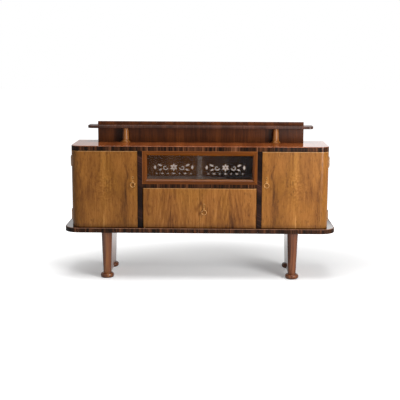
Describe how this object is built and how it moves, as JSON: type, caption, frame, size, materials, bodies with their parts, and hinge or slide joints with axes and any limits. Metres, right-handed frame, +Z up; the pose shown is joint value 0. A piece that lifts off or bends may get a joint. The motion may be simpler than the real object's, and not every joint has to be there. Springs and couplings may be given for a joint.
{
  "type": "credenza",
  "caption": "Wide sideboard with curved corner doors, a glazed display with sliding panes, cupboard doors below it, a gallery shelf on posts and slab legs",
  "frame": {"origin": "on the floor under the middle of the base board", "axes": "+X to the right when facing the doors, +Y to the rear, +Z up"},
  "size_m": [2, 0.49, 1.144],
  "materials": {
    "polished_top": "red-brown veneer under a high polish",
    "macassar": "near-black striped ebony veneer under a high polish",
    "walnut": "golden-brown straight-grained walnut veneer, polished",
    "figured_walnut": "book-matched figured walnut veneer, polished",
    "cherry": "orange-brown polished solid wood",
    "post_wood": "golden polished turned wood",
    "leg_wood": "brown polished veneer",
    "inner_wood": "plain brown satin wood",
    "glass": "clear polished glass with frosted ornament",
    "brass": "aged brass",
    "steel": "plain steel"
  },
  "bodies": {
    "cabinet": {"base_board": "polished_top", "top_board": "polished_top", "gallery_back": "polished_top", "base_edge_band": "macassar", "top_edge_band": "macassar", "left_stile": "macassar", "right_stile": "macassar", "middle_rail": "macassar", "gallery_shelf": "macassar", "left_side_panel": "walnut", "right_side_panel": "walnut", "frame_top_member": "cherry", "frame_bottom_member": "cherry", "frame_left_member": "cherry", "frame_right_member": "cherry", "left_post": "post_wood", "right_post": "post_wood", "left_leg": "leg_wood", "right_leg": "leg_wood", "front_left_foot": "leg_wood", "front_right_foot": "leg_wood", "rear_left_foot": "leg_wood", "rear_right_foot": "leg_wood", "left_partition": "inner_wood", "right_partition": "inner_wood", "display_floor": "inner_wood", "back_panel": "inner_wood", "left_shelf": "inner_wood", "right_shelf": "inner_wood", "upper_glass_track": "inner_wood", "lower_glass_track": "inner_wood", "panel_hinge_leaves": "brass", "hinge_pins": "brass", "shelf_pins": "steel", "leg_bolts": "steel"},
    "left_door": {"left_door": "walnut", "left_door_hinge_leaves": "brass", "left_lock_case": "steel", "left_pull_fittings": "brass"},
    "right_door": {"right_door": "walnut", "right_door_hinge_leaves": "brass", "right_lock_case": "steel", "right_pull_fittings": "brass"},
    "middle_left_door": {"middle_left_door": "figured_walnut", "middle_left_pivots": "brass"},
    "middle_right_door": {"middle_right_door": "figured_walnut", "middle_right_pivots": "brass", "middle_lock_case": "steel", "middle_pull_fittings": "brass"},
    "left_glass_pane": {"left_glass_pane": "glass"},
    "right_glass_pane": {"right_glass_pane": "glass"},
    "left_lock_bolt": {"left_lock_bolt": "brass"},
    "right_lock_bolt": {"right_lock_bolt": "brass"},
    "middle_lock_bolt": {"middle_lock_bolt": "brass"},
    "left_pull_ring": {"left_pull_ring": "brass"},
    "right_pull_ring": {"right_pull_ring": "brass"},
    "middle_pull_ring": {"middle_pull_ring": "brass"}
  },
  "joints": [
    {"name": "left_door_hinge", "type": "hinge", "parent": "cabinet", "child": "left_door", "pos_m": [-0.95, -0.115, 0.6745], "axis": [0, 0, -1], "range_deg": [0, 100]},
    {"name": "right_door_hinge", "type": "hinge", "parent": "cabinet", "child": "right_door", "pos_m": [0.95, -0.115, 0.6745], "axis": [0, 0, 1], "range_deg": [0, 100]},
    {"name": "middle_left_door_hinge", "type": "hinge", "parent": "cabinet", "child": "middle_left_door", "pos_m": [-0.407, -0.194, 0.5385], "axis": [0, 0, -1], "range_deg": [0, 90]},
    {"name": "middle_right_door_hinge", "type": "hinge", "parent": "cabinet", "child": "middle_right_door", "pos_m": [0.407, -0.194, 0.5385], "axis": [0, 0, 1], "range_deg": [0, 90]},
    {"name": "left_glass_slide", "type": "slide", "parent": "cabinet", "child": "left_glass_pane", "axis": [1, 0, 0], "range_m": [0, 0.402]},
    {"name": "right_glass_slide", "type": "slide", "parent": "cabinet", "child": "right_glass_pane", "axis": [1, 0, 0], "range_m": [-0.402, 0]},
    {"name": "left_lock_slide", "type": "slide", "parent": "left_door", "child": "left_lock_bolt", "axis": [1, 0, 0], "range_m": [0, 0.01]},
    {"name": "right_lock_slide", "type": "slide", "parent": "right_door", "child": "right_lock_bolt", "axis": [-1, 0, 0], "range_m": [0, 0.01]},
    {"name": "middle_lock_slide", "type": "slide", "parent": "middle_right_door", "child": "middle_lock_bolt", "axis": [-1, 0, 0], "range_m": [0, 0.01]},
    {"name": "left_ring_hinge", "type": "hinge", "parent": "left_door", "child": "left_pull_ring", "pos_m": [-0.49, -0.214, 0.727], "axis": [-1, 0, 0], "range_deg": [-10, 160]},
    {"name": "right_ring_hinge", "type": "hinge", "parent": "right_door", "child": "right_pull_ring", "pos_m": [0.49, -0.214, 0.727], "axis": [-1, 0, 0], "range_deg": [-10, 160]},
    {"name": "middle_ring_hinge", "type": "hinge", "parent": "middle_right_door", "child": "middle_pull_ring", "pos_m": [0.034, -0.214, 0.525], "axis": [-1, 0, 0], "range_deg": [-10, 160]}
  ]
}
